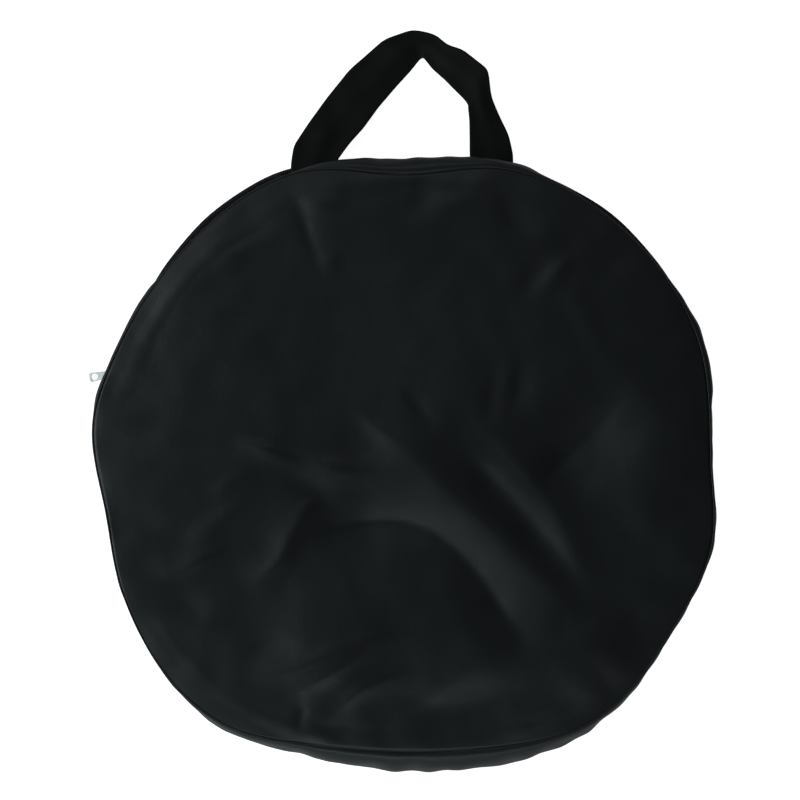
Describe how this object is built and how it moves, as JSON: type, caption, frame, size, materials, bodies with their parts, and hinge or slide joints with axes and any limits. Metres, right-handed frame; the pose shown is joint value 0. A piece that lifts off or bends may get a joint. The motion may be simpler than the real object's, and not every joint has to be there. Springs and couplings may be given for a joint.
{
  "type": "collapsible reflector disc in zip bag",
  "caption": "Folded spring-hoop light reflector inside a round black zip bag with a webbing carry handle, lying on its back.",
  "frame": {"origin": "centre of the back panel's outer face, which rests on the table", "axes": "+Z out of the front panel, +Y towards the carry handle, +X to the right seen from the front"},
  "size_m": [0.4299, 0.5113, 0.0385],
  "materials": {
    "bag_cloth": "black polyurethane-coated nylon taffeta, soft sheen",
    "seam_binding": "black folded polyester binding tape",
    "zip_tape": "black woven polyester zip tape",
    "zip_coil": "black nylon coil",
    "zip_stop": "crimped aluminium stop",
    "slider": "black painted zinc slider",
    "pull": "nickel-plated zinc pull tab",
    "webbing": "flat black polypropylene webbing",
    "anchor_cloth": "black reinforcing cloth",
    "spring_steel": "spring steel wire",
    "ferrule": "crimped steel sleeve",
    "rim_cloth": "black elastic rim binding",
    "diffuser_cloth": "translucent white nylon",
    "silver_cloth": "silver foil laminated cloth",
    "gold_cloth": "gold foil laminated cloth"
  },
  "bodies": {
    "bag": {"back_panel": "bag_cloth", "front_panel_lower": "bag_cloth", "gusset_lower": "bag_cloth", "back_seam_binding": "seam_binding", "front_seam_binding_lower": "seam_binding", "zip_tape_back": "zip_tape", "zip_coil_back": "zip_coil", "zip_tape_end_left": "zip_tape", "zip_tape_end_right": "zip_tape", "zip_coil_end_left": "zip_coil", "zip_coil_end_right": "zip_coil", "zip_top_stop": "zip_stop", "zip_bottom_stop": "zip_stop", "zip_end_tab_left": "bag_cloth", "zip_end_tab_right": "bag_cloth"},
    "flap": {"front_panel_flap": "bag_cloth", "gusset_upper": "bag_cloth", "front_seam_binding_flap": "seam_binding", "zip_tape_flap": "zip_tape", "zip_coil_flap": "zip_coil", "handle_stub_left": "webbing", "handle_stub_right": "webbing", "handle_anchor_left": "anchor_cloth", "handle_anchor_right": "anchor_cloth"},
    "slider": {"slider_body": "slider", "slider_crown": "slider"},
    "pull": {"pull_tab": "pull"},
    "handle": {"handle_strap": "webbing"},
    "reflector": {"spring_hoop": "spring_steel", "hoop_ferrule": "ferrule", "rim_binding": "rim_cloth", "diffuser_panel": "diffuser_cloth", "silver_black_cover_panel": "silver_cloth", "white_gold_cover_panel": "gold_cloth", "cover_zip": "zip_tape", "cover_zip_slider": "slider", "hang_loop": "webbing"}
  },
  "joints": [
    {"name": "flap_fold", "type": "hinge", "parent": "bag", "child": "flap", "pos_m": [0, 0.07, 0.038], "axis": [1, 0, 0], "range_deg": [0, 110]},
    {"name": "slider_travel", "type": "hinge", "parent": "bag", "child": "slider", "pos_m": [0, 0, 0.0053], "axis": [0, 0, 1], "range_deg": [-146, 0]},
    {"name": "pull_swing", "type": "hinge", "parent": "slider", "child": "pull", "pos_m": [-0.20254, 0.06192, 0.0078], "axis": [0, 0, 1], "range_deg": [-80, 28]},
    {"name": "handle_lift", "type": "hinge", "parent": "flap", "child": "handle", "pos_m": [0, 0.211, 0.0109], "axis": [1, 0, 0], "range_deg": [0, 85]},
    {"name": "reflector_slide", "type": "slide", "parent": "bag", "child": "reflector", "axis": [0, 1, 0], "range_m": [0, 0.1003]}
  ],
  "couplings": [
    {"joint": "reflector_slide", "follows": "flap_fold", "m_per_rad": 0.052}
  ]
}
